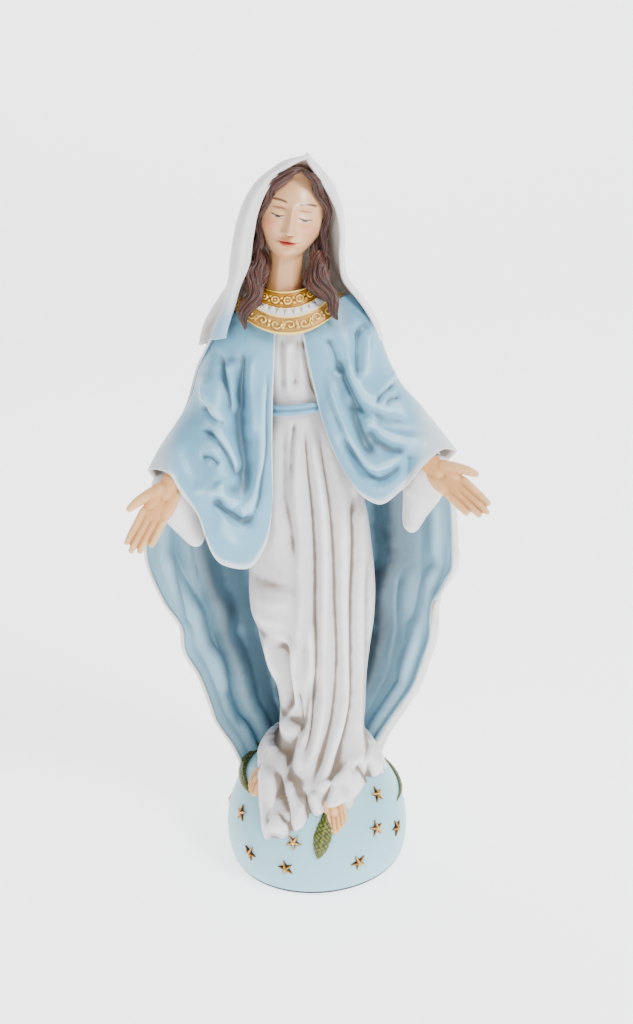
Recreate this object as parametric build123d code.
from build123d import *
import math
import os

# A painted cast-resin Madonna that stands on a globe: an assembly of glued castings.
# Millimetres. +Z is up, the statue faces -Y and its own left hand points to +X.
# The origin is the centre of the felt's underside. "right" and "left" are the statue's own.

# ---- driving sizes ----
FIGURE_HEIGHT = 247.8        # from the crown of the globe to the peak of the hood
GLOBE_RADIUS = 40.2
GLOBE_CENTRE_ABOVE_FELT = 10.5
FELT_THICKNESS = 1.5
FELT_INSET = 0.8             # the felt stops short of the globe's lower edge
CLOTH_WALL = 3.0             # cast wall of the mantle and the hood
GLUE_GAP = 0.15              # left between castings for the adhesive
BELT_THICKNESS = 2.1         # the belt stands this far off the waist
BELT_WIDTH = 4.0
DOWEL_RADIUS = 4.0           # steel dowel that holds the figure on the globe
DOWEL_IN_GLOBE = 26.0
DOWEL_IN_GOWN = 44.0
NECK_RADIUS = 7.4
NECK_SOCKET_DEPTH = 7.0
WRIST_RADIUS = 3.5
WRIST_STUB = 8.0             # part of the wrist that is glued inside the sleeve
WRIST_PIN_RADIUS = 1.0
WRIST_PIN_LENGTH = 15.0
WRIST_PIN_IN_PALM = 3.0
HAND_WIDTH = 10.4
HAND_THICKNESS = 3.4
PALM_LENGTH = 14.0           # from the sleeve's edge to the knuckles
KNUCKLE_OVERLAP = 2.0        # the fingers start this far inside the palm
FINGER_LENGTHS = (8.6, 10.6, 11.2, 10.0)   # little finger to forefinger
FINGER_RADIUS = 1.2
FINGER_ROOTS = 0.95          # width of the row of finger roots, as a share of the palm's
FINGER_SPREAD = 1.12         # the row of finger tips is this much wider than the row of roots
FINGER_CURL = 0.9            # the tips come forward by this much
THUMB_LENGTH = 9.0
THUMB_RADIUS = 1.35
TIP_ROUNDING = 0.9           # fillet of a finger tip, as a share of its radius
FOOT_WIDTH = 10.8
FOOT_LENGTH = 20.0
FOOT_THICKNESS = 8.0
SERPENT_RADIUS = 3.6
STAR_RADIUS = 3.4
STAR_HEIGHT = 1.5
STAR_WAIST = 0.42            # inner corners, as a share of the radius
STAR_RIM = 0.35              # height of the star's upright edge, as a share of its height
STAR_SINK = 0.5              # depth of the star's root below the globe's surface

# ---- derived sizes ----
NOMINAL_FIGURE_HEIGHT = 247.8    # the height that the draped stations below are written for
K = FIGURE_HEIGHT / NOMINAL_FIGURE_HEIGHT
GLOBE_CENTRE = FELT_THICKNESS + GLOBE_CENTRE_ABOVE_FELT
GLOBE_TOP = GLOBE_CENTRE + GLOBE_RADIUS
FOOT_RING = math.sqrt(GLOBE_RADIUS**2 - GLOBE_CENTRE_ABOVE_FELT**2)


def at(x, y, z):
    """Point of the draped figure: z is the height above the crown of the globe."""
    return Vector(x * K, y * K, GLOBE_TOP + z * K)


def oval_tower(stations, grow=0.0):
    """Loft of level ovals. A station is (height, centre x, centre y, half width, half depth)."""
    ovals = [Pos(at(x, y, z)) * Ellipse(a * K + grow, b * K + grow) for z, x, y, a, b in stations]
    return loft(ovals)


def on_globe(azimuth, elevation, radius=GLOBE_RADIUS):
    """Point above the globe's centre direction; azimuth 0 is the front, 90 the statue's left."""
    a = math.radians(azimuth)
    e = math.radians(elevation)
    level = radius * math.cos(e)
    return Vector(level * math.sin(a), -level * math.cos(a), GLOBE_CENTRE + radius * math.sin(e))


def digit(start, end, radius):
    """Round bar that starts flat and ends rounded, as a finger does."""
    line = end - start
    bar = Cylinder(radius, line.length, align=(Align.CENTER, Align.CENTER, Align.MIN))
    tip = bar.edges().sort_by(Axis.Z)[-1]
    return Plane(origin=start, z_dir=line) * fillet(tip, TIP_ROUNDING * radius)


def rod(start, end, radius):
    """Round bar between two points."""
    line = end - start
    return Plane(origin=start, z_dir=line) * Cylinder(
        radius, line.length, align=(Align.CENTER, Align.CENTER, Align.MIN)
    )


def ball(centre, rx, ry, rz, turn=(0, 0, 0)):
    """Ellipsoid."""
    return Location(centre, turn) * scale(Sphere(1.0), by=(rx, ry, rz))


# ---- the globe and what stands on it ----
def globe_ball(grow=0.0):
    """The whole sphere that the globe is cut from."""
    return Pos(0, 0, GLOBE_CENTRE) * Sphere(GLOBE_RADIUS + grow)


def dowel(grow=0.0):
    """Steel dowel from the globe up into the gown."""
    low = Vector(0, 0, GLOBE_TOP - DOWEL_IN_GLOBE - grow)
    high = Vector(0, 0, GLOBE_TOP + DOWEL_IN_GOWN + grow)
    return rod(low, high, DOWEL_RADIUS + grow)


def make_globe():
    """Sphere cut flat below, with the dowel's blind bore in its crown."""
    above = Pos(0, 0, FELT_THICKNESS) * Cylinder(
        2 * GLOBE_RADIUS, 3 * GLOBE_RADIUS, align=(Align.CENTER, Align.CENTER, Align.MIN)
    )
    return (globe_ball() & above) - dowel(GLUE_GAP)


def make_felt():
    """Felt disc under the globe."""
    return Cylinder(
        FOOT_RING - FELT_INSET, FELT_THICKNESS, align=(Align.CENTER, Align.CENTER, Align.MIN)
    )


def star_outline(radius):
    """Flat five-pointed star."""
    corners = []
    for i in range(10):
        r = radius if i % 2 == 0 else STAR_WAIST * radius
        turn = math.radians(36 * i)
        corners.append((r * math.sin(turn), r * math.cos(turn)))
    return make_face(Polyline(*corners, close=True))


def make_star(azimuth, elevation, spin):
    """Faceted star whose root is bedded on the globe."""
    root = on_globe(azimuth, elevation, GLOBE_RADIUS - STAR_SINK)
    out = root - Vector(0, 0, GLOBE_CENTRE)
    seat = Plane(origin=root, z_dir=out) * Rot(0, 0, spin)
    rim = STAR_SINK + STAR_RIM * STAR_HEIGHT
    body = extrude(star_outline(STAR_RADIUS), rim)
    facets = loft([Pos(0, 0, rim) * star_outline(STAR_RADIUS), Vertex(0, 0, STAR_SINK + STAR_HEIGHT)])
    return seat * (body + facets) - globe_ball()


STARS = [  # azimuth, elevation, spin
    (-61, 24, 10), (-46.5, 4, -25), (-20, 2, 15), (-15, 19, 40),
    (25, 2, 20), (41.5, 18, -5), (54, 35, -10), (60, 9, 5),
    (105, 12, 20), (145, 14, -15), (-150, 10, 30), (-105, 8, 0),
]

SERPENT_TILT = -9.0           # the coil is higher on the statue's right side
SERPENT_ELEVATION = 30.0
SERPENT_START, SERPENT_END = -62.0, 68.0   # azimuths of its two ends, the long way round the back
SERPENT_LIFT = 0.35           # its centre line above the globe, as a share of its radius
SERPENT_HEAD_AT = (3, 22)     # azimuth and elevation
SERPENT_HEAD_HALF = (4.2, 3.0, 10.5)
SERPENT_HEAD_TURN = (24, 0, -8)


def make_serpent_body():
    """Arc of a ring that lies on the globe and goes round behind the figure."""
    ring = GLOBE_RADIUS + SERPENT_LIFT * SERPENT_RADIUS
    level = ring * math.cos(math.radians(SERPENT_ELEVATION))
    height = ring * math.sin(math.radians(SERPENT_ELEVATION))
    section = Plane.XZ * Pos(level, height) * Circle(SERPENT_RADIUS)
    sweep_angle = 360 - (SERPENT_END - SERPENT_START)
    arc = revolve(section, Axis.Z, sweep_angle)
    cap = Sphere(SERPENT_RADIUS)
    ends = [Rot(0, 0, a) * Pos(level, 0, height) * cap for a in (0, sweep_angle)]
    coil = arc + ends[0] + ends[1]
    placed = Pos(0, 0, GLOBE_CENTRE) * Rot(0, -SERPENT_TILT, 0) * Rot(0, 0, SERPENT_END - 90) * coil
    return placed - globe_ball()


def make_serpent_head():
    """Head that comes out under the toes at the front and points down the globe."""
    return ball(on_globe(*SERPENT_HEAD_AT), *SERPENT_HEAD_HALF, SERPENT_HEAD_TURN) - globe_ball()


RIGHT_FOOT = (-26.0, -14.0, -45)     # where it stands in plan, and its turn
LEFT_FOOT = (6.8, -31.8, 12)


def foot(x, y, turn, grow=0.0):
    """Front of a bare foot that rests on the globe under the hem."""
    level = math.hypot(x, y) * K
    elevation = math.degrees(math.acos(level / GLOBE_RADIUS))
    middle = on_globe(math.degrees(math.atan2(x, -y)), elevation, GLOBE_RADIUS + FOOT_THICKNESS / 4)
    half = [size / 2 + grow for size in (FOOT_WIDTH, FOOT_LENGTH, FOOT_THICKNESS)]
    return ball(middle, *half, (elevation, 0, turn))


# ---- the gown ----
GOWN = [
    (-25, 0, -5, 27, 31.5),
    (-8, 1, -4, 25.5, 28),
    (10, 2, -3, 23, 23.5),
    (35, 3, -1, 23.5, 20),
    (70, 3.5, 0, 26.5, 20),
    (110, 3, 0, 24, 19.5),
    (138, 2.5, 0, 18.5, 17.5),
    (154, 2, 0, 15.8, 15.8),
    (172, 1, -1, 18, 15),
    (184, 0.5, -1, 18, 12.5),
    (192, 0, -2, 13.5, 11),
    (198, 0, -2, 8.6, 8.6),
]
WAIST_HEIGHT = 154
NECK_LOW = (0, -2, 198)      # where the neck leaves the gown
NECK_HIGH = (1.5, -2, 222)   # inside the head


def gown_body(grow=0.0):
    """Outer form of the gown from hem to neckline."""
    return oval_tower(GOWN, grow)


def neck_axis():
    """Lower and upper ends of the neck, which leans with the head."""
    return at(*NECK_LOW) - Vector(0, 0, NECK_SOCKET_DEPTH), at(*NECK_HIGH)


def make_gown():
    """Solid casting that beds on the globe, with the sockets for the dowel and the neck."""
    return gown_body() - globe_ball() - dowel(GLUE_GAP) - rod(*neck_axis(), NECK_RADIUS + GLUE_GAP)


def make_belt(gown):
    """Sash round the waist."""
    z, x, y, a, b = next(s for s in GOWN if s[0] == WAIST_HEIGHT)
    rim = Ellipse(a * K + BELT_THICKNESS, b * K + BELT_THICKNESS)
    return Pos(at(x, y, z)) * extrude(rim, BELT_WIDTH / 2, both=True) - gown


COLLAR_TOP, TRIM_TOP, LOWER_TOP, COLLAR_HEM = 197.5, 191.5, 189.0, 184.0
COLLAR_REACH = 40            # beyond the widest ring


def collar_cone():
    """Outer form of the collar, which slopes from the neck out over the shoulders."""
    stations = [
        (COLLAR_HEM, 0.8, -2.5, 21.5, 17.0),
        (LOWER_TOP, 0.5, -2.5, 17.8, 14.2),
        (TRIM_TOP, 0.3, -2.2, 15.0, 12.6),
        (COLLAR_TOP, 0, -2, 9.4, 9.4),
    ]
    return oval_tower(stations)


def make_collar_band(low, high, gown, neck):
    """One ring of the collar, between two heights above the globe."""
    slab = Pos(0, 0, GLOBE_TOP + low * K) * Cylinder(
        COLLAR_REACH * K, (high - low) * K, align=(Align.CENTER, Align.CENTER, Align.MIN)
    )
    return (collar_cone() & slab) - gown - neck


# ---- the head ----
HEAD_CENTRE = (3.8, -3.5, 227.5)
HEAD_HALF = (11.6, 13.8, 16.8)
HEAD_NOD = 8.0
HEAD_TILT = 13.0
NOSE_ROOT, NOSE_TIP, NOSE_RADIUS = (2.6, -16, 227), (2.0, -19.2, 223), 1.3
HAIR_THICKNESS = 1.8
HAIR_WINDOW, HAIR_WINDOW_HALF = (2.4, -20, 224), (9.6, 16, 16.5)   # the face, free of hair


def head_ball(grow=0.0):
    """Ellipsoid of the skull and face."""
    half = [size * K + grow for size in HEAD_HALF]
    return ball(at(*HEAD_CENTRE), *half, (HEAD_NOD, HEAD_TILT, 0))


def make_head():
    """Head with a plain nose, on its neck."""
    nose = rod(at(*NOSE_ROOT), at(*NOSE_TIP), NOSE_RADIUS)
    return head_ball() + nose + rod(*neck_axis(), NECK_RADIUS)


def make_hair_crown(neck):
    """Hair that shows as a band round the forehead and temples, under the hood."""
    window = ball(at(*HAIR_WINDOW), *(size * K for size in HAIR_WINDOW_HALF), (0, HEAD_TILT, 0))
    return carve(head_ball(HAIR_THICKNESS), head_ball(GLUE_GAP), neck, window)


LOCK_RIGHT = [
    (216, -9, -6, 3, 3.4),
    (206, -11.6, -11.5, 3.8, 3.6),
    (196, -14.2, -16.5, 3.6, 2.6),
    (186, -17, -20.2, 1.2, 1.2),
]
LOCK_LEFT = [
    (212, 13, -6.5, 3, 3.4),
    (204, 14.4, -10.5, 3.8, 3.6),
    (196, 17.2, -14.6, 3.4, 2.6),
    (187, 21.2, -18, 1.2, 1.2),
]


# ---- the hood and the mantle ----
HOOD = [
    (176, 1.5, 5.5, 34.5, 18.0),
    (184, 1.5, 5, 32.0, 18.5),
    (193, 1.3, 4, 27.0, 18.4),
    (202, 1, 2.5, 23.2, 18.4),
    (214, 1.2, 0.5, 21, 19),
    (231, 4, -1, 17.6, 17.4),
    (241, 6.4, -3, 12.2, 13.6),
    (246, 7.8, -4.5, 6.6, 8.6),
    (247.8, 8.4, -5, 2.2, 3.4),
]

HOOD_OPENING = (1.5, -8, 203)           # middle of the opening, on the plane of its rim
HOOD_OPENING_SIZE = (27, 40, 76)
HOOD_CHEST = (1.5, -6, 200)             # the hood stays behind and above this edge over the collar
HOOD_CHEST_SIZE = (42, 40, 40)


def hood_outside(grow=0.0):
    """Outer form of the hood."""
    return oval_tower(HOOD, grow)


def make_hood(*inner_parts):
    """Hood casting: open at the front round the face, hollow for the head and hair."""
    wall = CLOTH_WALL / K
    low, *middle = [(z, x, y, a - wall, b - wall) for z, x, y, a, b in HOOD[:-1]]
    inside = oval_tower([(low[0] - 1, *low[1:]), *middle[:-1], (middle[-1][0] - wall, *middle[-1][1:])])
    front = Location(at(*HOOD_OPENING), (0, HEAD_TILT, 0)) * Box(
        *(size * K for size in HOOD_OPENING_SIZE), align=(Align.CENTER, Align.MAX, Align.CENTER)
    )
    chest = Pos(at(*HOOD_CHEST)) * Box(
        *(size * K for size in HOOD_CHEST_SIZE), align=(Align.CENTER, Align.MAX, Align.MAX)
    )
    hair = head_ball(HAIR_THICKNESS + GLUE_GAP)
    return carve(hood_outside(), inside, front, chest, hair, *inner_parts)


# A station of the mantle: height, then the plan points of its outer face from the right edge
# round the back to the left edge.
MANTLE = [
    (-16, (-31, 7), (-27, 20), (0, 34), (27, 20), (28, 8)),
    (6, (-42, 10), (-31, 25), (1, 36), (31, 25), (37, 11)),
    (45, (-54, 13), (-36, 29), (1, 38), (36, 29), (55, 13)),
    (85, (-64, 9), (-41, 28), (1, 37), (41, 28), (65, 9)),
    (113, (-61, 4), (-42, 24), (1, 33), (43, 24), (64, 4)),
    (138, (-52, 0), (-38, 18), (1, 27), (40, 18), (57, 0)),
    (163, (-42, 2), (-32, 15), (1, 23), (34, 15), (44, 2)),
    (188, (-32, 1), (-24, 15), (1, 21.5), (26, 15), (34, 1)),
]


def mantle_section(z, *plan):
    """Level face of the mantle: its outer curve, and the same curve moved in by the wall."""
    outer = [at(x, y, z) for x, y in plan]
    inner = []
    for i, p in enumerate(outer):
        before, after = outer[max(i - 1, 0)], outer[min(i + 1, len(outer) - 1)]
        along = (after - before).normalized()
        inner.append(p + Vector(along.Y, -along.X, 0) * CLOTH_WALL)
    wire = [Spline(*outer), Line(outer[-1], inner[-1]), Spline(*reversed(inner)), Line(inner[0], outer[0])]
    return make_face(wire)


def mantle_sheet():
    """The whole mantle as one curved sheet, open at the front."""
    return loft([mantle_section(*s) for s in MANTLE])


# ---- the cape over each arm ----
CAPE_RIGHT = [
    (94, -25.5, -15, 4.0, 5.0),
    (104, -28, -14.5, 10.5, 9.5),
    (118, -30.5, -13.5, 15.5, 13.5),
    (131, -33, -12, 21.0, 15.5),
    (146, -27.5, -9, 19.5, 16.0),
    (164, -22.0, -5, 16.6, 16.6),
    (180, -19.5, -3, 13.5, 15.0),
    (191, -17, -1, 9.0, 12.0),
]
CAPE_LEFT = [
    (118, 30, -16, 5.5, 6.5),
    (124, 33, -15.5, 13.0, 10.5),
    (133, 37.5, -13.5, 22.0, 14.5),
    (148, 31.0, -9.5, 19.0, 15.8),
    (164, 25.5, -5, 16.8, 16.4),
    (180, 21.5, -3, 13.8, 15.0),
    (192, 18.5, -1, 9.5, 12.0),
]
SLEEVE_RIGHT = [
    (99, -40.5, -15, 3.2, 3.4),
    (108, -42, -16.5, 7.0, 6.4),
    (120, -45, -18.5, 8.2, 8.0),
    (131, -47.5, -19, 8.2, 8.0),
]
SLEEVE_LEFT = [
    (101, 45, -15, 3.2, 3.4),
    (110, 46, -16.5, 6.6, 6.4),
    (121, 48.5, -18.5, 8.0, 8.0),
    (132, 50, -19, 8.2, 8.0),
]
THUMB_ROOT = (0.25, 0.4)     # shares of the palm's width and length
THUMB_WAY = (0.62, 0.12, 0.7)
# Stations of the palm: share of its length, and half width and half thickness as shares of the hand's.
PALM = [(0.3, 0.41, 0.72), (0.6, 0.5, 0.55), (1.0, 0.5, 0.42)]


class Hand:
    """A hand: where its wrist leaves the sleeve, which way it points and its palm faces."""

    def __init__(self, wrist, point, palm, side):
        self.wrist = at(*wrist)
        along = Vector(*point).normalized()
        facing = Vector(*palm)
        facing = (facing - along * facing.dot(along)).normalized()
        across = facing.cross(along) * side
        self.frame = Plane(origin=self.wrist, x_dir=across, z_dir=along)
        self.palm_sign = 1 if self.frame.y_dir.dot(facing) > 0 else -1

    def stub(self, grow=0.0):
        """Wrist that goes into the sleeve."""
        return self.frame * Pos(0, 0, -WRIST_STUB - grow) * Cylinder(
            WRIST_RADIUS + grow, WRIST_STUB + grow, align=(Align.CENTER, Align.CENTER, Align.MIN)
        )

    def pin(self, grow=0.0):
        """Steel pin from the wrist into the arm."""
        return self.frame * Pos(0, 0, WRIST_PIN_IN_PALM - WRIST_PIN_LENGTH - grow) * Cylinder(
            WRIST_PIN_RADIUS + grow, WRIST_PIN_LENGTH + 2 * grow, align=(Align.CENTER, Align.CENTER, Align.MIN)
        )

    def build(self):
        """Palm, four fingers and a thumb on the wrist."""
        knuckles = PALM_LENGTH - KNUCKLE_OVERLAP
        ovals = [
            Pos(0, 0, along * PALM_LENGTH) * Ellipse(width * HAND_WIDTH, thickness * HAND_THICKNESS)
            for along, width, thickness in PALM
        ]
        pieces = [loft([Circle(WRIST_RADIUS), *ovals])]
        for i, length in enumerate(FINGER_LENGTHS):
            x = (i - 1.5) * HAND_WIDTH / 4 * FINGER_ROOTS
            tip = Vector(x * FINGER_SPREAD, FINGER_CURL * self.palm_sign, knuckles + length)
            pieces.append(digit(Vector(x, 0, knuckles), tip, FINGER_RADIUS))
        across, along = THUMB_ROOT
        sideways, forward, ahead = THUMB_WAY
        thumb_root = Vector(across * HAND_WIDTH, 0, along * PALM_LENGTH)
        thumb_way = Vector(sideways, forward * self.palm_sign, ahead).normalized()
        pieces.append(digit(thumb_root, thumb_root + thumb_way * THUMB_LENGTH, THUMB_RADIUS))
        hand = self.stub()
        for piece in pieces:
            hand = hand + self.frame * piece
        return hand - self.pin(GLUE_GAP)


HAND_RIGHT = Hand(wrist=(-50.5, -27, 129.5), point=(-9, -14, -19), palm=(0.25, -0.75, 0.6), side=-1)
HAND_LEFT = Hand(wrist=(53.5, -27, 131.5), point=(15, -15, -12), palm=(-0.35, -0.7, 0.6), side=1)


def make_sleeve(stations, hand):
    """Gown's inner sleeve: hangs as a pocket under the wrist and holds its stub."""
    return carve(oval_tower(stations), hand.stub(GLUE_GAP), hand.pin(GLUE_GAP), hand.build())


def make_cape(stations, sleeve_stations, hand, *neighbours):
    """Casting of the cape over one arm, with the cuff's pocket for the sleeve."""
    sleeve = oval_tower(sleeve_stations, GLUE_GAP)
    return carve(oval_tower(stations), sleeve, hand.stub(GLUE_GAP), hand.pin(GLUE_GAP), *neighbours)


def carve(body, *neighbours):
    """Takes the neighbours' space out of a casting."""
    for part in neighbours:
        body = body - part
    return body


def main():
    """Builds every piece and writes one STEP per node."""
    parts = {}
    toes = [foot(*RIGHT_FOOT, GLUE_GAP), foot(*LEFT_FOOT, GLUE_GAP)]
    parts["globe"] = make_globe()
    parts["felt_pad"] = make_felt()
    parts["figure_dowel"] = dowel()
    parts["serpent_body"] = carve(make_serpent_body(), *toes)
    parts["serpent_head"] = carve(make_serpent_head(), *toes)
    parts["foot_right"] = foot(*RIGHT_FOOT) - globe_ball()
    parts["foot_left"] = foot(*LEFT_FOOT) - globe_ball()
    gown = carve(make_gown(), *toes, parts["serpent_body"], parts["serpent_head"])
    parts["gown"] = gown
    parts["belt"] = make_belt(gown)
    neck = rod(*neck_axis(), NECK_RADIUS + GLUE_GAP)
    parts["collar_upper_band"] = make_collar_band(TRIM_TOP, COLLAR_TOP, gown, neck)
    parts["collar_trim"] = make_collar_band(LOWER_TOP, TRIM_TOP, gown, neck)
    parts["collar_lower_band"] = make_collar_band(COLLAR_HEM, LOWER_TOP, gown, neck)
    parts["head"] = make_head()
    parts["hair_crown"] = make_hair_crown(neck)
    for i, (azimuth, elevation, spin) in enumerate(STARS, start=1):
        parts[f"star_{i:02d}"] = make_star(azimuth, elevation, spin)
    parts["hand_right"] = HAND_RIGHT.build()
    parts["hand_left"] = HAND_LEFT.build()
    parts["wrist_pin_right"] = HAND_RIGHT.pin()
    parts["wrist_pin_left"] = HAND_LEFT.pin()
    parts["sleeve_right"] = make_sleeve(SLEEVE_RIGHT, HAND_RIGHT)
    parts["sleeve_left"] = make_sleeve(SLEEVE_LEFT, HAND_LEFT)
    torso = gown_body(GLUE_GAP)
    collar = [parts["collar_upper_band"], parts["collar_trim"], parts["collar_lower_band"]]
    right = make_cape(CAPE_RIGHT, SLEEVE_RIGHT, HAND_RIGHT, torso, parts["belt"], *collar)
    left = make_cape(CAPE_LEFT, SLEEVE_LEFT, HAND_LEFT, torso, parts["belt"], *collar)
    parts["cape_right"] = right
    parts["cape_left"] = left
    locks = {"hair_lock_right": oval_tower(LOCK_RIGHT), "hair_lock_left": oval_tower(LOCK_LEFT)}
    for name, lock in locks.items():
        parts[name] = carve(lock, parts["head"], parts["hair_crown"], *collar, right, left, gown)
    body_parts = [right, left, gown, *collar, parts["hair_lock_right"], parts["hair_lock_left"]]
    parts["hood"] = make_hood(neck, *body_parts)
    parts["mantle"] = carve(
        mantle_sheet(), globe_ball(), hood_outside(GLUE_GAP), parts["serpent_body"],
        *body_parts, parts["sleeve_right"], parts["sleeve_left"],
    )
    os.makedirs("parts", exist_ok=True)
    for name, part in parts.items():
        export_step(part, f"parts/{name}.step")


if __name__ == "__main__":
    main()
